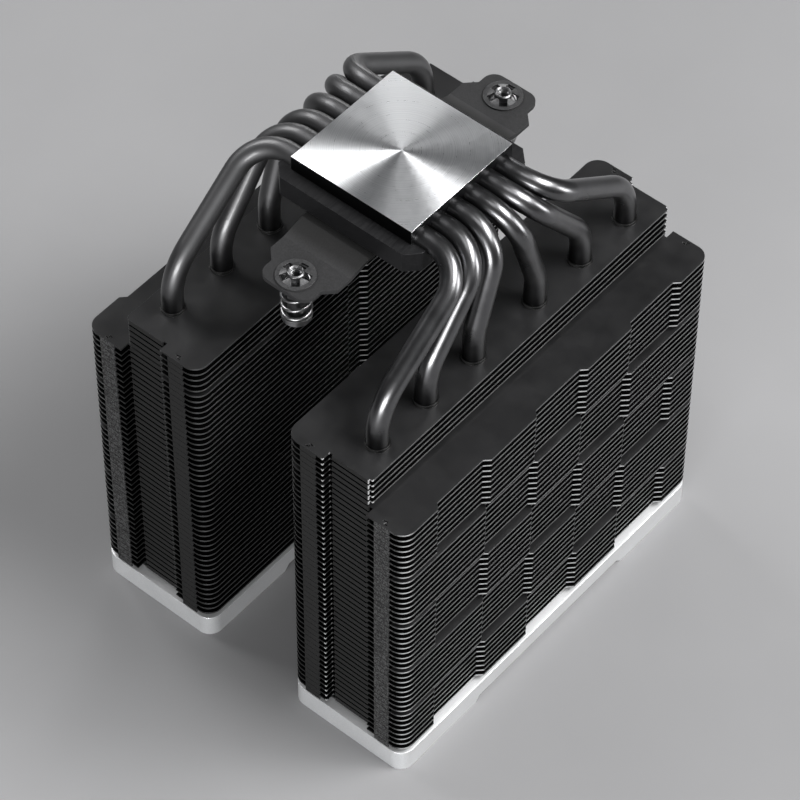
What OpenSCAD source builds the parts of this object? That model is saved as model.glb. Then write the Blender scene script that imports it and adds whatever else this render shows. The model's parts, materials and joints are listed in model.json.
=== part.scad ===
// Twin-tower CPU cooler without fans: six bent heat pipes join a square cold
// plate to two fin towers. It stands on its two top covers, cold plate up.
// Millimetres, +Z up, X along the long side of the fins, origin at the centre
// of the footprint. In service the cooler hangs the other way up.

/* [Towers] */
// Length of each tower along X
tower_w = 127; // [125:0.5:135]
// Depth of each tower along Y
tower_d = 40; // [39:0.5:46]
// Clear gap between the towers, for a 25 mm thick fan
tower_gap = 30; // [28:0.5:36]
// Radius of the vertical corners of fins and covers
corner_r = 4.2; // [3:0.1:4.5]

/* [Fins] */
// Fins in each tower
fin_n = 49; // [45:1:49]
// Short fins at the base end, which leave room for tall memory modules
short_n = 5; // [3:1:6]
// Depth of the short fins along Y
short_d = 27; // [26:0.5:28]
// Fins in each row of the chequered outer face
row_n = 9; // [7:1:12]
// Distance from one fin to the next
fin_pitch = 2.19; // [2:0.01:2.2]
// Thickness of a fin
fin_t = 0.5; // [0.3:0.05:0.6]
// Height of the upper face of the first fin
stack_top = 115.1; // [115:0.1:118]
// Width of one cell of the chequered outer face
cell_w = 19.85; // [19:0.05:20.5]
// Depth of a recessed cell, and of the notch in the inner face
cell_depth = 1.6; // [1:0.1:2]
// Distance between the end recesses of a tower
recess_w = 122.4; // [121:0.1:123]

/* [Heat pipes] */
// Outer diameter of a heat pipe
pipe_d = 6; // [5.6:0.1:6]
// Spacing of the pipes inside the base
pipe_pitch = 6.4; // [6.4:0.1:6.8]
// Distance of each pair's vertical legs from the centre, innermost pair first
leg_x = [12.5, 31.5, 50.5];
// Height at which each pair turns down into the fins, innermost pair first
turn_z = [124.5, 126, 128];
// Height of the pipes' centre line in the base
pipe_z = 153.3; // [152:0.1:154]
// Bend radius at the base and at the fins
bend_r = [11, 17];
// Height of the sealed lower tips, inside the covers
tip_z = 3.2; // [3:0.1:4]

/* [Base] */
// Side of the square cold plate
plate_w = 40; // [40:0.5:44]
// Height of the cold plate's contact face, which is the overall height
plate_z = 158; // [157:0.1:160]
// Side of the square base block
block_w = 48; // [46:0.5:48]
// Height of the base block's lower face
block_z = 146.9; // [146:0.1:148]
// Chamfer on the upright corners of the base block
block_chamfer = 3.6; // [1:0.1:5]

/* [Covers] */
// Height of a cover
cover_h = 7.4; // [6:0.1:7.6]
// Thickness of a cover's floor
cover_floor = 2.4; // [2:0.1:3]
// Thickness of a cover's walls
cover_wall = 3.2; // [2.8:0.1:4]
// Height of the relief under the middle of each long side
relief_h = 1.8; // [1:0.1:2]
// Length of that relief
relief_w = 61; // [40:1:80]

/* [Crossbar and captive nuts] */
// Distance between the two captive nuts
nut_spacing = 82.4; // [82:0.1:84]
// Thickness of the sheet-metal crossbar
bar_t = 1.2; // [1:0.1:1.5]
// Width of the crossbar under the base block
bar_w = 22.4; // [20:0.2:24]
// Width of an ear of the crossbar
ear_w = 16.4; // [14:0.2:17]
// Overall length of the crossbar
bar_len = 93.8; // [93:0.1:97]
// Height of the ears' upper face
ear_z = 145.2; // [144.8:0.1:145.6]
// Outer diameter of a captive nut's barrel
barrel_d = 4.6; // [4.4:0.1:4.6]
// Inner diameter of the thread in a captive nut, M3
thread_d = 3; // [2.5:0.1:3]
// Outer diameter of a spring
spring_d = 8.4; // [8:0.1:8.8]
// Wire diameter of a spring
wire_d = 1; // [0.8:0.1:1.1]
// Distance between the open coils of a spring
coil_pitch = 3.4; // [3:0.1:3.6]

/* [Hidden] */
$fn = 64;
eps = 0.01;

// Towers, in a tower's own frame: x along the fin, y outwards from the gap
mid_y = tower_d / 2;
pipe_y = tower_gap / 2 + mid_y;
tab_y = 5.2;                       // near edge of an end tab
tab_w = 5;
tooth_y = 12.8;                    // where the end recess starts
relief_w_end = 1.1;                // small relief at both ends of that recess
flange_h = 1.55;
stack_gap = 0.15;                  // kept between a tab and the next fin
hole_r = pipe_d / 2 + 0.03;
collar_r = 3.35;
collar_h = 0.9;
peg_x = [22, 57];                  // pegs of a cover, both sides of the centre
peg_r = 1.2;
post_r = 2.2;

// Pipes
pipe_r = pipe_d / 2;
groove_r = pipe_r + 0.02;
tip_h = 3;
lap = 0.05;
bend_thin = 0.01;

// Crossbar: flat under the block, joggled down to the ears
bend_x = [26, 33];
ear_r = 3.6;
ear_hole_r = 3.7;
washer_hole_r = barrel_d / 2 + 0.3;
screw_x = 12.8;
screw_head_h = 1.4;

// Captive nuts, from the bottom up
nut_flange_z = 129.8;
nut_flange_h = 1;
nut_flange_r = 3.9;
nut_top_z = 147;
nut_edge = 0.3;
thread_depth = 14;
mouth_h = 0.35;
washer_z = nut_flange_z + nut_flange_h;
washer_h = 1;
spring_z = washer_z + washer_h;
spring_top = ear_z - bar_t;
ring_r = 5.35;
ring_t = 0.5;
tongue_r = 4.1;                    // tongues start here and rise to the barrel
tongue_rise = 0.6;
ring_slots = 5;
slot_w = 2.2;

black = [0.10, 0.10, 0.11];
soft_black = [0.16, 0.16, 0.17];
silver = [0.78, 0.79, 0.81];
steel = [0.70, 0.70, 0.71];

// ---------------------------------------------------------------- helpers

module rear_tower() { translate([0, tower_gap / 2, 0]) children(); }
module front_tower() { mirror([0, 1, 0]) rear_tower() children(); }
module both_x() { children(); mirror([1, 0, 0]) children(); }
module both_y_about(y) { children(); translate([0, 2 * y, 0]) mirror([0, 1, 0]) children(); }

// Rectangle with round corners, centred on x, from y = inset to y = d - inset
module rounded_rect(w, d, r, inset = 0) {
    x = w / 2 - inset;
    translate([-x, inset + r]) square([2 * x, d - 2 * inset - 2 * r]);
    translate([-x + r, inset]) square([2 * x - 2 * r, d - 2 * inset]);
    for (cx = [-x + r, x - r], cy = [inset + r, d - inset - r])
        translate([cx, cy]) circle(r);
}

// ------------------------------------------------------------------- fins

// Trapezium cut into a straight edge at y, depth towards -y, sides at 45 degrees
module edge_cell(x1, x2, y) {
    c = cell_depth / 2;
    polygon([[x1 - c - eps, y + eps], [x1 + c, y - cell_depth],
             [x2 - c, y - cell_depth], [x2 + c + eps, y + eps]]);
}

// Recess in both short ends, where the wire clips of a fan hook in
module end_recess() {
    both_x() translate([recess_w / 2, tooth_y])
        square([tower_w, tower_d - 2 * tooth_y]);
    both_x() both_y_about(mid_y) translate([recess_w / 2 - 0.6, tooth_y])
        square([tower_w, relief_w_end]);
}

// Stepped slit inside each end tab, where a fin locks into the next one.
// Points are measured inwards from the end edge and outwards from the tab's middle.
slit = [[-1.55, -0.75], [-1.85, 0.55], [-0.85, 0.2], [-0.85, 1.1]];
slit_w = 0.32;
module lock_slits() {
    both_x() both_y_about(mid_y)
        translate([tower_w / 2, tower_d - tab_y - tab_w / 2])
            for (i = [0:2]) {
                step = slit[i + 1] - slit[i];
                translate(slit[i]) rotate(atan2(step[1], step[0]))
                    translate([0, -slit_w / 2]) square([norm(step) + slit_w / 3, slit_w]);
            }
}

// Style 0 recesses cells A, C and E of the outer edge, style 1 cells B and D
module full_outline(style) {
    difference() {
        rounded_rect(tower_w, tower_d, corner_r);
        end_recess();
        lock_slits();
        for (k = [0:4]) if (k % 2 == style)
            edge_cell((k - 2.5) * cell_w, (k - 1.5) * cell_w, tower_d);
        mirror([0, 1]) edge_cell(-2 * cell_depth, 2 * cell_depth, 0);
    }
}

module short_outline() {
    difference() {
        rounded_rect(tower_w, tower_d, corner_r);
        end_recess();
        lock_slits();
        translate([-tower_w / 2 - 1, short_d]) square([tower_w + 2, tower_d]);
        both_x() translate([recess_w / 2, short_d]) rotate(45)
            square(1.2, center = true);
        mirror([0, 1]) edge_cell(-2 * cell_depth, 2 * cell_depth, 0);
    }
}

// Folded tabs that close the ends and the flange in the end recess
module end_folds(is_short) {
    tab_h = fin_pitch - stack_gap;
    far = is_short ? short_d - 1 : tower_d - tooth_y - relief_w_end;
    both_x() translate([0, 0, fin_t - tab_h]) {
        translate([tower_w / 2 - fin_t, tab_y, 0]) cube([fin_t, tab_w, tab_h]);
        if (!is_short)
            translate([tower_w / 2 - fin_t, tower_d - tab_y - tab_w, 0])
                cube([fin_t, tab_w, tab_h]);
    }
    both_x() translate([recess_w / 2 - fin_t, tooth_y + relief_w_end, fin_t - flange_h])
        cube([fin_t, far - tooth_y - relief_w_end, flange_h]);
}

module pipe_columns(r, z, h) {
    both_x() for (x = leg_x) translate([x, mid_y, z]) cylinder(r = r, h = h);
}

// One fin with its upper face at z = fin_t
module fin(style, is_short = false, is_last = false) {
    difference() {
        union() {
            linear_extrude(fin_t) {
                if (is_short) short_outline(); else full_outline(style);
            }
            end_folds(is_short);
            pipe_columns(collar_r, fin_t / 2, fin_t / 2 + collar_h);
        }
        pipe_columns(hole_r, -1, fin_t + collar_h + 2);
        if (is_last)
            both_x() for (x = peg_x) translate([x, mid_y, -1])
                cylinder(r = peg_r + 0.03, h = fin_t + 2);
    }
}

function fin_z(k) = stack_top - fin_t - k * fin_pitch;
function fin_row(k) = floor((k - short_n) / row_n);

module short_fins() {
    for (k = [0:short_n - 1]) translate([0, 0, fin_z(k)]) fin(0, is_short = true);
}

module full_fins(style) {
    for (k = [short_n:fin_n - 1]) if (fin_row(k) % 2 == style)
        translate([0, 0, fin_z(k)]) fin(style, is_last = k == fin_n - 1);
}

module front_short_fins() { color(soft_black) front_tower() short_fins(); }
module front_fins_a() { color(soft_black) front_tower() full_fins(0); }
module front_fins_b() { color(soft_black) front_tower() full_fins(1); }
module rear_short_fins() { color(soft_black) rear_tower() short_fins(); }
module rear_fins_a() { color(soft_black) rear_tower() full_fins(0); }
module rear_fins_b() { color(soft_black) rear_tower() full_fins(1); }

// ----------------------------------------------------------------- covers

module relief() {
    x = relief_w / 2;
    translate([0, 1.5, 0]) rotate([90, 0, 0]) linear_extrude(3)
        polygon([[-x - relief_h - eps, -eps], [-x, relief_h],
                 [x, relief_h], [x + relief_h + eps, -eps]]);
}

module cover() {
    under_fin = fin_z(fin_n - 1);
    difference() {
        linear_extrude(cover_h) rounded_rect(tower_w, tower_d, corner_r);
        translate([0, 0, cover_floor]) linear_extrude(cover_h)
            rounded_rect(tower_w, tower_d, 1.5, cover_wall);
        both_y_about(mid_y) relief();
    }
    both_x() for (x = peg_x) translate([x, mid_y, cover_floor - 0.2]) {
        cylinder(r = post_r, h = under_fin - cover_floor + 0.2);
        cylinder(r = peg_r, h = under_fin - cover_floor + 0.2 + fin_t + 0.8);
    }
}

module front_cover() { color(silver) front_tower() cover(); }
module rear_cover() { color(silver) rear_tower() cover(); }

// ------------------------------------------------------------- heat pipes

// Straight length of pipe along +Z; children go on from its far end.
// It laps over the ends of the bends, which are a hair thinner.
module run_on(h) {
    translate([0, 0, -lap]) cylinder(r = pipe_r, h = h + 2 * lap);
    translate([0, 0, h]) children();
}

// Bend from +Z towards +X by angle a; children go on from its far end
module bend_on(r, a) {
    translate([r, 0, 0]) rotate([90, 0, 180]) {
        rotate_extrude(angle = a) translate([r, 0]) circle(pipe_r - bend_thin);
        rotate(a) translate([r, 0, 0]) rotate([-90, 0, 0]) children();
    }
}

// Half of a pipe on the +X, +Y side, from the middle of the base to its tip
module half_pipe(j) {
    x0 = (j + 0.5) * pipe_pitch;
    dx = leg_x[j] - x0;
    dz = pipe_z - turn_z[j];
    lean = atan2(dx, dz);
    low_t = bend_r[1] * tan(lean / 2);
    translate([x0, 0, pipe_z]) rotate([-90, 0, 0])
        run_on(pipe_y - bend_r[0])
        rotate(90 - lean) bend_on(bend_r[0], 90)
        run_on(sqrt(dx * dx + dz * dz) - bend_r[0] - low_t)
        rotate(-90) bend_on(bend_r[1], lean)
        run_on(turn_z[j] - low_t - tip_z - tip_h)
        cylinder(r1 = pipe_r - bend_thin, r2 = 1.4, h = tip_h);
}

module full_pipe(j) { half_pipe(j); mirror([0, 1, 0]) half_pipe(j); }

// Pipes are numbered 1 to 6 from -X to +X
module heat_pipe(n) {
    color(black) {
        if (n > 3) full_pipe(n - 4);
        else mirror([1, 0, 0]) full_pipe(3 - n);
    }
}

// ------------------------------------------------------------------- base

module pipe_grooves() {
    both_x() for (j = [0:2])
        translate([(j + 0.5) * pipe_pitch, block_w, pipe_z]) rotate([90, 0, 0])
            cylinder(r = groove_r, h = 2 * block_w);
}

module cold_plate() {
    color(silver) difference() {
        translate([-plate_w / 2, -plate_w / 2, pipe_z])
            cube([plate_w, plate_w, plate_z - pipe_z]);
        pipe_grooves();
    }
}

module base_block() {
    s = block_w / 2;
    c = s - block_chamfer;
    color(soft_black) difference() {
        translate([0, 0, block_z]) linear_extrude(pipe_z - block_z)
            polygon([[-s, -c], [-c, -s], [c, -s], [s, -c],
                     [s, c], [c, s], [-c, s], [-s, c]]);
        pipe_grooves();
        both_x() translate([screw_x, 0, block_z - 1]) cylinder(r = 1.5, h = 4.4);
    }
}

// ------------------------------------------- crossbar and its two screws

// Plan of the crossbar: wide in the middle, an ear with round corners each end
module bar_plan() {
    step = (bar_w - ear_w) / 2;
    x_ear = bar_len / 2;
    x_step = nut_spacing / 2;
    both_x() {
        translate([-eps, -bar_w / 2]) square([x_step - step + eps, bar_w]);
        polygon([[x_step - step - eps, -bar_w / 2], [x_step, -ear_w / 2],
                 [x_step, ear_w / 2], [x_step - step - eps, bar_w / 2]]);
        translate([x_step - 1, -ear_w / 2]) square([x_ear - ear_r - x_step + 1, ear_w]);
        translate([x_step - 1, -ear_w / 2 + ear_r])
            square([x_ear - x_step + 1, ear_w - 2 * ear_r]);
        for (y = [-1, 1]) translate([x_ear - ear_r, y * (ear_w / 2 - ear_r)])
            circle(ear_r);
    }
}

// Side view of the joggled sheet
module bar_profile() {
    x_end = bar_len / 2 + 1;
    polygon([[-x_end, ear_z], [-bend_x[1], ear_z], [-bend_x[0], block_z],
             [bend_x[0], block_z], [bend_x[1], ear_z], [x_end, ear_z],
             [x_end, ear_z - bar_t], [bend_x[1], ear_z - bar_t],
             [bend_x[0], block_z - bar_t], [-bend_x[0], block_z - bar_t],
             [-bend_x[1], ear_z - bar_t], [-x_end, ear_z - bar_t]]);
}

module crossbar() {
    color(soft_black) difference() {
        intersection() {
            linear_extrude(plate_z) bar_plan();
            translate([0, bar_w, 0]) rotate([90, 0, 0])
                linear_extrude(2 * bar_w) bar_profile();
        }
        both_x() {
            translate([nut_spacing / 2, 0, ear_z - 5]) cylinder(r = ear_hole_r, h = 10);
            translate([screw_x, 0, block_z - 5]) cylinder(r = 1.6, h = 10);
        }
    }
}

module crossbar_screws() {
    z = block_z - bar_t;
    color(steel) both_x() translate([screw_x, 0, z]) difference() {
        union() {
            translate([0, 0, -screw_head_h]) cylinder(r = 2.8, h = screw_head_h);
            translate([0, 0, -0.2]) cylinder(r = 1.45, h = bar_t + 3.2);
        }
        for (a = [0, 90]) rotate(a)
            translate([-1.5, -0.35, -screw_head_h - 1]) cube([3, 0.7, 2]);
    }
}

// ----------------------------------- captive nuts, springs and small rings

// Height of the wire above its lowest point after t turns: the ends lie almost
// flat for end_turn turns, the coils between them are open
end_turn = 0.6;
end_rise = 0.2;
function wire_z(t, turns) =
    t < end_turn ? t / end_turn * end_rise :
    t < turns - end_turn ? end_rise + (t - end_turn) * coil_pitch :
    end_rise + (turns - 2 * end_turn) * coil_pitch
        + (t - turns + end_turn) / end_turn * end_rise;

module spring() {
    rise = spring_top - spring_z - wire_d;
    turns = 2 * end_turn + (rise - 2 * end_rise) / coil_pitch;
    r = (spring_d - wire_d) / 2;
    n = ceil(turns * 24);
    m = 8;
    points = [for (i = [0:n]) let (t = turns * i / n, a = 360 * t, z = wire_z(t, turns))
        for (k = [0:m - 1]) let (b = 360 * (k + 0.5) / m, c = r + wire_d / 2 * cos(b))
            [c * cos(a), c * sin(a), z + wire_d / 2 * (1 + sin(b))]];
    sides = [for (i = [0:n - 1], k = [0:m - 1])
        [i * m + k, i * m + (k + 1) % m, (i + 1) * m + (k + 1) % m, (i + 1) * m + k]];
    ends = [[for (k = [m - 1:-1:0]) k], [for (k = [0:m - 1]) n * m + k]];
    color(steel) translate([0, 0, spring_z]) rotate(220 - 360 * end_turn)
        polyhedron(points, concat(sides, ends));
}

module spring_washer() {
    color(steel) translate([0, 0, washer_z]) difference() {
        cylinder(r = spring_d / 2 - 0.1, h = washer_h);
        translate([0, 0, -1]) cylinder(r = washer_hole_r, h = washer_h + 2);
    }
}

// Threaded barrel with a driver flange below and an open M3 thread above
module nut() {
    barrel_h = nut_top_z - nut_flange_z;
    mouth_z = nut_top_z - mouth_h;
    color(steel) difference() {
        translate([0, 0, nut_flange_z]) {
            cylinder(r = nut_flange_r, h = nut_flange_h);
            cylinder(r = barrel_d / 2, h = barrel_h - nut_edge);
            translate([0, 0, barrel_h - nut_edge])
                cylinder(r1 = barrel_d / 2, r2 = barrel_d / 2 - nut_edge, h = nut_edge);
        }
        translate([0, 0, nut_top_z - thread_depth])
            cylinder(r = thread_d / 2, h = thread_depth + 1);
        translate([0, 0, mouth_z])
            cylinder(r1 = thread_d / 2, r2 = thread_d / 2 + 2 * mouth_h, h = 2 * mouth_h);
        for (a = [0, 90]) rotate(a)
            translate([-2, -0.4, nut_flange_z - 1]) cube([4, 0.8, 3]);
    }
}

// Star ring pushed onto the barrel: five raised tongues grip it
module retaining_ring() {
    grip_r = barrel_d / 2 + 0.02;
    color(soft_black) translate([0, 0, ear_z]) difference() {
        rotate_extrude() polygon([
            [tongue_r, 0], [ring_r, 0], [ring_r, ring_t], [tongue_r, ring_t],
            [grip_r, ring_t + tongue_rise], [grip_r, tongue_rise]]);
        for (k = [0:ring_slots - 1]) rotate(-140 + 360 / ring_slots * k)
            translate([0, -slot_w / 2, -1]) cube([tongue_r + 0.06, slot_w, 4]);
    }
}

module at_right() { translate([nut_spacing / 2, 0, 0]) children(); }
module at_left() { translate([-nut_spacing / 2, 0, 0]) children(); }

module left_spring() { at_left() spring(); }
module left_spring_washer() { at_left() spring_washer(); }
module left_nut() { at_left() nut(); }
module left_retaining_ring() { at_left() retaining_ring(); }
module right_spring() { at_right() spring(); }
module right_spring_washer() { at_right() spring_washer(); }
module right_nut() { at_right() nut(); }
module right_retaining_ring() { at_right() retaining_ring(); }

// ------------------------------------------------------------------ nodes

cold_plate();
base_block();
heat_pipe(1);  // heat_pipe_1
heat_pipe(2);  // heat_pipe_2
heat_pipe(3);  // heat_pipe_3
heat_pipe(4);  // heat_pipe_4
heat_pipe(5);  // heat_pipe_5
heat_pipe(6);  // heat_pipe_6
front_short_fins();
front_fins_a();
front_fins_b();
front_cover();
rear_short_fins();
rear_fins_a();
rear_fins_b();
rear_cover();
crossbar();
crossbar_screws();
left_spring();
left_spring_washer();
left_nut();
left_retaining_ring();
right_spring();
right_spring_washer();
right_nut();
right_retaining_ring();
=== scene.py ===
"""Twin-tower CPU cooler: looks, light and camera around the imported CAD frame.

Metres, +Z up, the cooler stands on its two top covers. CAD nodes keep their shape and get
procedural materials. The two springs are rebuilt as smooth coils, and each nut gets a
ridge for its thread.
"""
import json
import math
import bpy
from mathutils import Matrix, Vector


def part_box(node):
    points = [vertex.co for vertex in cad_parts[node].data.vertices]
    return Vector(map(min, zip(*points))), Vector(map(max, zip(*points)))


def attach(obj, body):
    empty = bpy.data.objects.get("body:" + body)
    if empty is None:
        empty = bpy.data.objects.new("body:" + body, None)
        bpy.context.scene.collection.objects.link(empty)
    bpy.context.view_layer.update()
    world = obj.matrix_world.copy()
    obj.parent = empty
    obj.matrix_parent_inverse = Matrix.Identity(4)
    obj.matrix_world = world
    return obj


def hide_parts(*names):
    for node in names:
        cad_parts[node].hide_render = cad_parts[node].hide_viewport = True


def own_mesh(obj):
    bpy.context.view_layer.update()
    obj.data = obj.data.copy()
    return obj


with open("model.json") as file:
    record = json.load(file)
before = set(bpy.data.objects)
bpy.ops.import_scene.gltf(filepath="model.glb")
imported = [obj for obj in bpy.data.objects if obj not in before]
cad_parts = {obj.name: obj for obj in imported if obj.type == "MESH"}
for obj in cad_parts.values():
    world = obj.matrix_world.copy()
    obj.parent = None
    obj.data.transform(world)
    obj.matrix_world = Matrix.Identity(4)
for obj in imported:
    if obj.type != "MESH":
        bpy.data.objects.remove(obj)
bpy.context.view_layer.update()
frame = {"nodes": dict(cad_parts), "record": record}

MM = 0.001
NODES = frame["nodes"]

# -------------------------------------------------------- places and sizes
# Places on the fins are distances from the two middle planes, as the looks are mirrored in both.
TOWER_Y = 35 * MM                 # middle of a tower
PIPE_X = (12.5 * MM, 31.5 * MM, 50.5 * MM)
COLLARS = [(x, TOWER_Y) for x in PIPE_X]
COLLAR_HEIGHT = 0.9 * MM
COLLAR_SHADE_EDGE = (3.40 * MM, 3.60 * MM)
STACK_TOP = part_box("front_short_fins")[1].z - COLLAR_HEIGHT
STEP_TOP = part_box("front_fins_a")[1].z - COLLAR_HEIGHT
FINS_IN_ROW = 9
FIN_PITCH = 2.19 * MM
ROW = FINS_IN_ROW * FIN_PITCH
LEDGE_Y = 50.5 * MM               # ledges between the rows lie beyond this
LEVEL = 0.2 * MM                  # a face this near a height is at that height
GAP_CORNER_X = (55 * MM, 58 * MM)
GAP_SIDE_Y = 25 * MM
OUTER_TAB_X, OUTER_TAB_Y = 62.8 * MM, 44.6 * MM
RECESS_X, RECESS_HALF_WIDTH = 60.3 * MM, 9.6 * MM
NOTCH_DOTS = ((63.3 * MM, 27.6 * MM), (60.9 * MM, 27.5 * MM))
CORNER_DOTS = ((60.95 * MM, 41.1 * MM), (60.45 * MM, 41.9 * MM))
DOT_EDGE = (0.28 * MM, 0.42 * MM)

NUT_X = 0.0412
SHANK_TOP, SHANK_RADIUS = 145.0 * MM, 2.5 * MM
TONGUE_EDGE = (3.55 * MM, 3.75 * MM)
BAR_SHADE_RISE = (0.1450, 0.1460)       # painted shade: the bar is painted darker above its ears
PIPE_FOOT_SHADE = (116 * MM, 125 * MM)
SATIN_SHADE_Y = (5 * MM, 18 * MM)
SATIN_SHADE_Z = (114 * MM, 138 * MM)
COVER_OUTER_Y = 50 * MM
RING_SCALE = 5200.0               # turned rings of the plate, per metre of radius
LEAN = 0.16                       # outward lean of the flanks of those rings

EAR_UNDERSIDE = 0.144
WASHER_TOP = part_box("left_spring_washer")[1].z
NUT_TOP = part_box("left_nut")[1].z
SPRING = {"wire": 1.0 * MM, "outer": 8.4 * MM, "pitch": 3.4 * MM}
THREAD = {"depth": 7 * MM, "major": 1.5 * MM, "minor": 1.28 * MM, "pitch": 0.5 * MM}
THREAD_START = 0.6 * MM           # below the top of the nut

# ------------------------------------------------------------------ camera
AZIMUTH, ELEVATION, ROLL = map(math.radians, (-50.08, 50.40, 0.416))
TARGET = Vector((-13.8, -11.55, 80.0)) * MM
DISTANCE = 1.02236
SENSOR, LENS = 36.0, 172.28

back = Vector((math.sin(AZIMUTH) * math.cos(ELEVATION),
               -math.cos(AZIMUTH) * math.cos(ELEVATION), math.sin(ELEVATION)))
level = Vector((math.cos(AZIMUTH), math.sin(AZIMUTH), 0))
right = level * math.cos(ROLL) + back.cross(level) * math.sin(ROLL)
up = back.cross(right)

camera_data = bpy.data.cameras.new("camera")
camera_data.sensor_width = SENSOR
camera_data.lens = LENS
camera_data.clip_start, camera_data.clip_end = 0.05, 10
camera = bpy.data.objects.new("camera", camera_data)
bpy.context.scene.collection.objects.link(camera)
camera.matrix_world = Matrix.Translation(TARGET + back * DISTANCE) @ Matrix(
    (right, up, back)).transposed().to_4x4()
bpy.context.scene.camera = camera


# --------------------------------------------------------------- materials
class Look:
    """A Principled material and short calls for the nodes around it."""

    def __init__(self, name, **sockets):
        self.material = bpy.data.materials.new(name)
        self.material.use_nodes = True
        self.tree = self.material.node_tree
        self.tree.nodes.clear()
        out = self.node("ShaderNodeOutputMaterial")
        self.shader = self.node("ShaderNodeBsdfPrincipled")
        self.link(self.shader.outputs["BSDF"], out.inputs["Surface"])
        for socket, value in sockets.items():
            self.shader.inputs[socket.replace("_", " ")].default_value = value
        coordinates = self.node("ShaderNodeTexCoord")
        self.place = coordinates.outputs["Object"]
        self.facing = coordinates.outputs["Normal"]

    def node(self, kind, **values):
        made = self.tree.nodes.new(kind)
        for name, value in values.items():
            setattr(made, name, value)
        return made

    def link(self, source, target):
        self.tree.links.new(source, target)

    # shader sockets
    def colour(self, source):
        self.link(source, self.shader.inputs["Base Color"])

    def roughness(self, source):
        self.link(source, self.shader.inputs["Roughness"])

    def normal(self, source):
        self.link(source, self.shader.inputs["Normal"])

    # values
    def math(self, operation, a, b=None):
        made = self.node("ShaderNodeMath", operation=operation)
        for i, value in enumerate((a, b)):
            if isinstance(value, (int, float)):
                made.inputs[i].default_value = value
            elif value is not None:
                self.link(value, made.inputs[i])
        return made.outputs["Value"]

    def product(self, a, b):
        return self.math("MULTIPLY", a, b)

    def opposite(self, a):
        return self.math("SUBTRACT", 1.0, a)

    def blend(self, first, share, second):
        """That share of first, and the rest of second."""
        return self.math("ADD", self.product(first, share), self.product(second, 1 - share))

    def parts(self, vector):
        """The three numbers of a vector."""
        apart = self.node("ShaderNodeSeparateXYZ")
        self.link(vector, apart.inputs["Vector"])
        return [apart.outputs[axis] for axis in "XYZ"]

    def sizes(self, vector):
        """The three numbers of a vector, without their signs."""
        return [self.math("ABSOLUTE", part) for part in self.parts(vector)]

    def ramp(self, value, low, high, start=0.0, end=1.0):
        """value from start..end becomes low..high, numbers or colours."""
        if isinstance(low, (int, float)):
            made = self.node("ShaderNodeMapRange")
            names = ("From Min", "From Max", "To Min", "To Max")
            for name, number in zip(names, (start, end, low, high)):
                made.inputs[name].default_value = number
            self.link(value, made.inputs["Value"])
            return made.outputs["Result"]
        made = self.node("ShaderNodeValToRGB")
        for stop, at, colour in zip(made.color_ramp.elements, (start, end), (low, high)):
            stop.position, stop.color = at, (*colour, 1)
        self.link(value, made.inputs["Fac"])
        return made.outputs["Color"]

    def spread(self, noise, low, high):
        """A ramp over the middle of a noise, where nearly all of it lies."""
        return self.ramp(noise, low, high, 0.3, 0.7)

    def mix(self, factor, low, high):
        """Colour low where factor is 0 and high where it is 1."""
        made = self.node("ShaderNodeMix", data_type="RGBA")
        for name, value in (("Factor", factor), ("A", low), ("B", high)):
            kind = "VALUE" if name == "Factor" else "RGBA"
            socket = next(i for i in made.inputs if i.name == name and i.type == kind)
            if isinstance(value, tuple):
                socket.default_value = (*value, 1)
            else:
                self.link(value, socket)
        return next(o for o in made.outputs if o.type == "RGBA")

    # patterns and masks
    def stretched(self, scale):
        """Object position with each axis scaled."""
        mapping = self.node("ShaderNodeMapping")
        mapping.inputs["Scale"].default_value = scale
        self.link(self.place, mapping.inputs["Vector"])
        return mapping.outputs["Vector"]

    def noise(self, per_metre, stretch=(1, 1, 1), detail=3.0, rough=0.55):
        made = self.node("ShaderNodeTexNoise")
        made.inputs["Scale"].default_value = per_metre
        made.inputs["Detail"].default_value = detail
        made.inputs["Roughness"].default_value = rough
        self.link(self.stretched(stretch), made.inputs["Vector"])
        return made.outputs["Fac"]

    def distance(self, places):
        """Distance from the nearest of the upright axes at +-x, +-y of any of the places."""
        x, y = self.sizes(self.place)[:2]
        nearest = None
        for at_x, at_y in places:
            dx = self.math("SUBTRACT", x, at_x)
            dy = self.math("SUBTRACT", y, at_y)
            square = self.math("ADD", self.product(dx, dx), self.product(dy, dy))
            far = self.math("SQRT", square)
            nearest = far if nearest is None else self.math("MINIMUM", nearest, far)
        return nearest

    def flatness(self, low, high):
        """0 on upright faces, 1 on faces that look straight up or down."""
        return self.ramp(self.sizes(self.facing)[2], 0.0, 1.0, low, high)

    # normals
    def soft_edges(self, radius):
        edge = self.node("ShaderNodeBevel", samples=4)
        edge.inputs["Radius"].default_value = radius
        return edge.outputs["Normal"]

    def bump(self, height, depth, over=None):
        """Normal with a bump of that depth, over another normal where one is given."""
        made = self.node("ShaderNodeBump")
        made.inputs["Distance"].default_value = depth
        self.link(height, made.inputs["Height"])
        if over is not None:
            self.link(over, made.inputs["Normal"])
        return made.outputs["Normal"]


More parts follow.
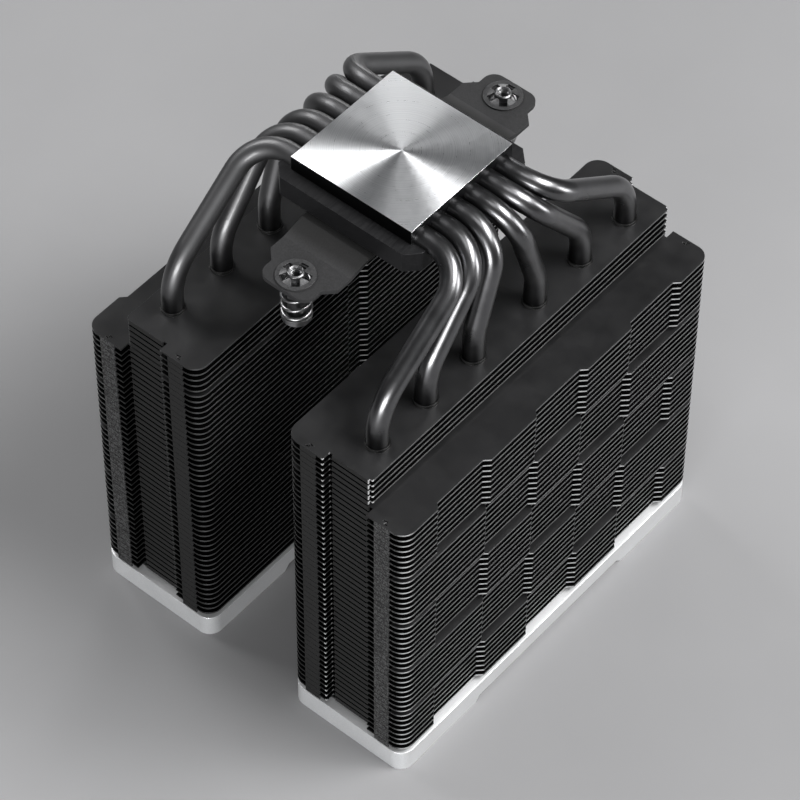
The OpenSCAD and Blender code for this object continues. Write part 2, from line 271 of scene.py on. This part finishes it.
def nickel_plate():
    """Turned contact face: fine rings, streaked highlights from groove flanks that lean outwards."""
    look = Look("nickel_plate", Metallic=1.0, Anisotropic=0.8, Anisotropic_Rotation=0.25)
    tangent = look.node("ShaderNodeTangent", direction_type="RADIAL", axis="Z")
    look.link(tangent.outputs["Tangent"], look.shader.inputs["Tangent"])
    turned = look.node("ShaderNodeTexNoise", noise_dimensions="1D")
    turned.inputs["Scale"].default_value = 1.0
    turned.inputs["Detail"].default_value = 2.0
    look.link(look.product(look.distance([(0.0, 0.0)]), RING_SCALE), turned.inputs["W"])
    rings = turned.outputs["Fac"]
    scuff = look.noise(700.0, detail=4.0)
    top = look.flatness(0.6, 0.95)
    face = look.ramp(rings, (0.66, 0.67, 0.69), (0.88, 0.89, 0.90), 0.25, 0.75)
    look.colour(look.mix(top, (0.012, 0.012, 0.013), face))
    look.roughness(look.spread(look.blend(rings, 0.6, scuff), 0.27, 0.36))

    outward = look.node("ShaderNodeVectorMath", operation="NORMALIZE")
    look.link(look.stretched((1, 1, 0)), outward.inputs[0])
    lean = look.node("ShaderNodeVectorMath", operation="SCALE")
    look.link(outward.outputs["Vector"], lean.inputs[0])
    look.link(look.product(top, LEAN), lean.inputs["Scale"])
    leaning = look.node("ShaderNodeVectorMath", operation="ADD")
    look.link(look.bump(rings, 0.001 * MM, look.soft_edges(0.12 * MM)), leaning.inputs[0])
    look.link(lean.outputs["Vector"], leaning.inputs[1])
    unit = look.node("ShaderNodeVectorMath", operation="NORMALIZE")
    look.link(leaning.outputs["Vector"], unit.inputs[0])
    look.normal(unit.outputs["Vector"])
    return look.material


def black_fin():
    """Black coated aluminium sheet: satin faces, a painted sheen and painted highlights on the
    edges, painted glints, and ends, collars and gaps painted dark as shade.
    """
    look = Look("black_fin", Metallic=0.4)
    cloud = look.noise(140.0, detail=3.0)
    grain = look.noise(5200.0, detail=2.0)
    x, y, z = look.sizes(look.place)
    nx, ny = look.sizes(look.facing)[:2]
    soft = look.soft_edges(0.20 * MM)
    upward = look.ramp(look.sizes(soft)[2], 0.0, 1.0, 0.62, 0.96)

    # Edges of the sheet: a painted sheen on the straight edges and a brighter painted highlight
    # where the outline turns, but not beside the fan gap.
    edge_noise = look.noise(1400.0, (1, 1, 0.2), 3.0)
    straight = look.spread(edge_noise, (0.032, 0.032, 0.033), (0.066, 0.066, 0.068))
    turned = look.spread(edge_noise, (0.28, 0.28, 0.285), (0.44, 0.44, 0.445))
    gap_corner = look.product(look.ramp(x, 0.0, 1.0, *GAP_CORNER_X),
                              look.math("LESS_THAN", y, GAP_SIDE_Y))
    slant = look.product(look.ramp(look.product(nx, ny), 0.0, 1.0, 0.05, 0.45),
                         look.opposite(gap_corner))
    edge_sheen = look.mix(slant, straight, turned)

    # Folded tabs at the ends and the recess between them: the end faces and the recess are painted
    # dark as shade, the outer tabs in a lighter mottle as painted light.
    plain_end_shade = look.ramp(look.noise(2600.0, detail=2.0),
                          (0.001, 0.001, 0.001), (0.012, 0.012, 0.012), 0.35, 0.65)
    mottled_end_shade = look.ramp(look.noise(2200.0, detail=1.0),
                            (0.002, 0.002, 0.002), (0.075, 0.075, 0.076), 0.42, 0.62)
    outer_tab = look.product(look.math("GREATER_THAN", x, OUTER_TAB_X),
                             look.math("GREATER_THAN", y, OUTER_TAB_Y))
    from_middle = look.math("ABSOLUTE", look.math("SUBTRACT", y, TOWER_Y))
    recess = look.product(look.math("GREATER_THAN", x, RECESS_X),
                          look.math("LESS_THAN", from_middle, RECESS_HALF_WIDTH))
    end_shade = look.math("MAXIMUM", look.ramp(nx, 0.0, 1.0, 0.75, 0.95), recess)
    ends = look.mix(outer_tab, plain_end_shade, mottled_end_shade)

    # Glints in the notches and on the short fins' corners, dimmer on the rear tower.
    notch = look.ramp(look.distance(NOTCH_DOTS), 1.0, 0.0, *DOT_EDGE)
    corner = look.product(look.ramp(look.distance(CORNER_DOTS), 1.0, 0.0, *DOT_EDGE),
                          look.math("GREATER_THAN", z, STEP_TOP + MM))
    by_tower = look.ramp(look.parts(look.place)[1], 1.0, 0.12, -MM, MM)
    glint = look.product(look.math("MAXIMUM", notch, corner), by_tower)
    sides = look.mix(glint, look.mix(end_shade, edge_sheen, ends), (0.42, 0.42, 0.425))

    # Flat faces: the top of the stack, the step and the ledges are in the open; the rest lie between
    # fins and are painted near black as shade.
    top = look.math("GREATER_THAN", z, STACK_TOP - LEVEL)
    below_step = look.math("SUBTRACT", STEP_TOP, z)
    step = look.math("LESS_THAN", look.math("ABSOLUTE", below_step), LEVEL)
    below_ledge = look.math("MODULO", look.math("ADD", below_step, LEVEL), ROW)
    ledge = look.product(look.math("LESS_THAN", below_ledge, 2 * LEVEL),
                         look.math("GREATER_THAN", y, LEDGE_Y))
    out_of_gap_shade = look.math("MAXIMUM", look.math("MAXIMUM", top, step), ledge)
    face = look.spread(cloud, (0.010, 0.010, 0.0105), (0.016, 0.016, 0.0165))
    base = look.mix(upward, sides, look.mix(out_of_gap_shade, (0.002, 0.002, 0.002), face))
    # Painted shade: a near-black ring round each pipe where it meets the fins.
    clear = look.ramp(look.distance(COLLARS), 0.0, 1.0, *COLLAR_SHADE_EDGE)
    look.colour(look.mix(clear, (0.004, 0.004, 0.004), base))

    satin = look.spread(look.blend(cloud, 0.5, grain), 0.31, 0.41)
    duller = look.product(look.product(end_shade, look.opposite(upward)), 0.35)
    sharper = look.product(look.product(upward, look.opposite(out_of_gap_shade)), 0.15)
    look.roughness(look.math("SUBTRACT", look.math("ADD", satin, duller), sharper))
    look.normal(look.bump(grain, 0.003 * MM, soft))
    return look.material


def black_pipe():
    """Gloss black nickel on the front pipes; the rear ones satin and painted darker as shade; a
    painted dark reflection of the fins just above them.
    """
    look = Look("black_pipe", Metallic=1.0, Coat_Weight=0.2, Coat_Roughness=0.12)
    cloud = look.noise(160.0, detail=3.0)
    grain = look.noise(3800.0, detail=2.0)
    y, z = look.parts(look.place)[1:]
    # Rear pipes: rougher, and painted darker as shade.
    satin = look.product(look.ramp(y, 0.0, 1.0, *SATIN_SHADE_Y), look.ramp(z, 0.0, 1.0, *SATIN_SHADE_Z))
    # Painted dark reflection of the fins, just above them.
    above_foot_shade = look.ramp(z, 0.0, 1.0, *PIPE_FOOT_SHADE)
    gloss = look.spread(cloud, (0.100, 0.100, 0.103), (0.130, 0.130, 0.134))
    body = look.mix(satin, gloss, (0.085, 0.085, 0.087))
    look.colour(look.mix(above_foot_shade, (0.030, 0.030, 0.031), body))
    look.roughness(look.math("ADD", look.spread(cloud, 0.27, 0.33), look.product(satin, 0.20)))
    look.normal(look.bump(grain, 0.002 * MM))
    return look.material


def black_block():
    """Milled and blackened block, with fine tool marks along X."""
    look = Look("black_block", Metallic=0.6)
    marks = look.noise(2400.0, (0.08, 1, 1), 3.0)
    look.colour(look.spread(marks, (0.010, 0.010, 0.011), (0.018, 0.018, 0.019)))
    look.roughness(look.spread(marks, 0.34, 0.48))
    look.normal(look.bump(marks, 0.006 * MM, look.soft_edges(0.3 * MM)))
    return look.material


def black_bar():
    """Powder-coated steel sheet: a fine orange peel, lighter on the ears and painted darker above
    them as shade.
    """
    look = Look("black_bar", Metallic=0.0, Specular_IOR_Level=0.12)
    peel = look.noise(2600.0, detail=2.0)
    ears = look.spread(peel, (0.018, 0.018, 0.0185), (0.027, 0.027, 0.028))
    middle = look.spread(peel, (0.006, 0.006, 0.006), (0.010, 0.010, 0.010))
    height = look.parts(look.place)[2]
    # Painted shade where the bar rises from its ears to the block.
    look.colour(look.mix(look.ramp(height, 0.0, 1.0, *BAR_SHADE_RISE), ears, middle))
    look.roughness(look.spread(peel, 0.46, 0.58))
    look.normal(look.bump(peel, 0.02 * MM, look.soft_edges(0.25 * MM)))
    return look.material


def silver_cover():
    """Bead-blasted anodised aluminium; flat tops painted brightest as light from above, the outer
    long faces painted darker as shade.
    """
    look = Look("silver_cover", Metallic=0.65)
    grain = look.noise(4200.0, detail=3.0, rough=0.7)
    tone = look.blend(grain, 0.7, look.noise(90.0))
    ny = look.sizes(look.facing)[1]
    y = look.sizes(look.place)[1]
    outer = look.product(look.ramp(ny, 0.0, 1.0, 0.75, 0.98),
                         look.math("GREATER_THAN", y, COVER_OUTER_Y))
    bright = look.spread(tone, (0.60, 0.61, 0.62), (0.80, 0.81, 0.82))
    shaded_outer_face = look.spread(tone, (0.47, 0.475, 0.48), (0.64, 0.645, 0.65))
    top = look.spread(tone, (0.80, 0.81, 0.82), (0.95, 0.95, 0.96))
    # Painted light and shade: tops lighter, outer long faces darker.
    look.colour(look.mix(look.flatness(0.6, 0.95), look.mix(outer, bright, shaded_outer_face), top))
    look.roughness(look.spread(grain, 0.30, 0.44))
    look.normal(look.bump(grain, 0.016 * MM, look.soft_edges(0.35 * MM)))
    return look.material


def bright_steel():
    """Plated steel with faint turning marks around upright axes, painted darker on the barrels'
    shanks as shade under the ears.
    """
    look = Look("bright_steel", Metallic=1.0)
    marks = look.noise(3000.0, (0.3, 0.3, 1.6), 2.0)
    steel = look.spread(marks, (0.19, 0.19, 0.194), (0.29, 0.29, 0.294))
    # Painted shade on the barrels' shanks below the ears.
    shank_shade = look.product(look.math("LESS_THAN", look.parts(look.place)[2], SHANK_TOP),
                         look.math("LESS_THAN", look.distance([(NUT_X, 0.0)]), SHANK_RADIUS))
    look.colour(look.mix(shank_shade, steel, (0.09, 0.09, 0.092)))
    look.roughness(look.spread(marks, 0.28, 0.38))
    look.normal(look.bump(marks, 0.004 * MM, look.soft_edges(0.12 * MM)))
    return look.material


def dark_ring():
    """Blackened spring steel, lighter on the tongues that grip the barrel."""
    look = Look("dark_ring", Metallic=0.7)
    marks = look.noise(2200.0, detail=3.0)
    tongues = look.ramp(look.distance([(NUT_X, 0.0)]), 1.0, 0.0, *TONGUE_EDGE)
    dark = look.spread(marks, (0.050, 0.050, 0.051), (0.078, 0.078, 0.080))
    bright = look.spread(marks, (0.060, 0.060, 0.061), (0.095, 0.095, 0.097))
    look.colour(look.mix(tongues, dark, bright))
    look.roughness(look.spread(marks, 0.34, 0.46))
    look.normal(look.bump(marks, 0.006 * MM, look.soft_edges(0.10 * MM)))
    return look.material


MATERIALS = {make.__name__: make() for make in (
    nickel_plate, black_fin, black_pipe, black_block, black_bar, silver_cover, bright_steel,
    dark_ring)}

for entry in frame["record"]["subparts"]:
    mesh = NODES[entry["node"]].data
    mesh.materials.clear()
    mesh.materials.append(MATERIALS[entry["material_slot"]])


# ----------------------------------------------------- springs and threads
def smooth_piece(name, verts, faces, material):
    mesh = bpy.data.meshes.new(name)
    mesh.from_pydata(verts, [], faces)
    mesh.shade_smooth()
    mesh.materials.append(MATERIALS[material])
    piece = bpy.data.objects.new(name, mesh)
    bpy.context.scene.collection.objects.link(piece)
    return piece


def swept(rows, sides):
    """Quads between rows of the same number of points, closed round each row and capped."""
    faces = [(i * sides + k, i * sides + (k + 1) % sides,
              (i + 1) * sides + (k + 1) % sides, (i + 1) * sides + k)
             for i in range(rows - 1) for k in range(sides)]
    last = (rows - 1) * sides
    return faces + [tuple(range(sides))[::-1], tuple(last + k for k in range(sides))]


def coil(name, x, low, high, wire, outer, pitch):
    """Compression spring on an upright axis at x, its end turns nearly flat."""
    per_turn, sides = 56, 16
    end_turn, end_rise = 0.6, 0.2 * MM
    start = math.radians(220)
    turns = 2 * end_turn + (high - low - wire - 2 * end_rise) / pitch
    rows = int(turns * per_turn) + 1
    verts = []
    for i in range(rows):
        turn = turns * i / (rows - 1)
        lift = min(turn / end_turn, 1) * end_rise
        lift += max(turn - turns + end_turn, 0) / end_turn * end_rise
        lift += max(min(turn, turns - end_turn) - end_turn, 0) * pitch
        angle = 2 * math.pi * (turn - end_turn) + start
        for k in range(sides):
            around = 2 * math.pi * k / sides
            radius = outer / 2 - wire / 2 + wire / 2 * math.cos(around)
            verts.append((x + radius * math.cos(angle), radius * math.sin(angle),
                          low + wire / 2 + lift + wire / 2 * math.sin(around)))
    return smooth_piece(name, verts, swept(rows, sides), "bright_steel")


def thread(name, x, top, depth, major, minor, pitch):
    """Internal thread ridge in a bore of radius major, down from height top."""
    per_turn = 36
    root = major + 0.02 * MM
    root_half, crest_half = 0.42, 0.06      # half widths in pitches
    rows = int(depth / pitch * per_turn) + 1
    verts = []
    for i in range(rows):
        angle = 2 * math.pi * i / per_turn
        fade = min(i / per_turn, 1.0, (rows - 1 - i) / per_turn)
        crest = major - (major - minor) * fade
        z = top - pitch * i / per_turn
        profile = ((root, -root_half), (crest, -crest_half), (crest, crest_half), (root, root_half))
        for radius, dz in profile:
            verts.append((x + radius * math.cos(angle), radius * math.sin(angle), z + dz * pitch))
    return smooth_piece(name, verts, swept(rows, len(profile)), "bright_steel")


for side, x in (("left", -NUT_X), ("right", NUT_X)):
    spring = coil(side + "_coil", x, WASHER_TOP, EAR_UNDERSIDE, **SPRING)
    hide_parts(side + "_spring")
    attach(spring, "cooler")
    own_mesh(spring)
    ridge = thread(side + "_thread", x, NUT_TOP - THREAD_START, **THREAD)
    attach(ridge, side + "_captive_nut")


# ---------------------------------------------------------- floor and light
MIDDLE = Vector((0, 0, 0.09))      # where the lights aim
FLOOR_HALF = 3.0


def floor():
    half = FLOOR_HALF
    mesh = bpy.data.meshes.new("floor")
    mesh.from_pydata([(-half, -half, 0), (half, -half, 0), (half, half, 0), (-half, half, 0)],
                     [], [(0, 1, 2, 3)])
    look = Look("floor", Roughness=0.75)
    look.colour(look.spread(look.noise(25.0), (0.172, 0.172, 0.175), (0.178, 0.178, 0.181)))
    mesh.materials.append(look.material)
    piece = bpy.data.objects.new("floor", mesh)
    bpy.context.scene.collection.objects.link(piece)


def softbox(name, azimuth, elevation, distance, width, height, power):
    """Area light aimed at the middle of the cooler; azimuth 0 is +X, 90 is +Y."""
    a, e = math.radians(azimuth), math.radians(elevation)
    away = Vector((math.cos(a) * math.cos(e), math.sin(a) * math.cos(e), math.sin(e)))
    data = bpy.data.lights.new(name, "AREA")
    data.shape, data.size, data.size_y, data.energy = "RECTANGLE", width, height, power
    lamp = bpy.data.objects.new(name, data)
    lamp.location = MIDDLE + away * distance
    lamp.rotation_euler = (-away).to_track_quat("-Z", "Y").to_euler()
    bpy.context.scene.collection.objects.link(lamp)


floor()
softbox("front", 205, 12, 1.2, width=0.6, height=0.35, power=16)
softbox("side", 303, 15, 1.2, width=0.3, height=0.6, power=9)
softbox("key", 297, 54, 1.3, width=0.8, height=0.45, power=32)
softbox("rear", 91, 45, 1.3, width=0.62, height=0.4, power=11)
softbox("back", 36, 12, 1.3, width=0.5, height=0.25, power=3)
softbox("crown", 226, 78, 1.4, width=0.5, height=0.5, power=2.4)

world = bpy.data.worlds.new("studio")
world.use_nodes = True
sky = world.node_tree.nodes["Background"]
sky.inputs["Color"].default_value = (0.80, 0.82, 0.85, 1)
sky.inputs["Strength"].default_value = 0.10
bpy.context.scene.world = world

bpy.context.scene.view_settings.view_transform = "Standard"
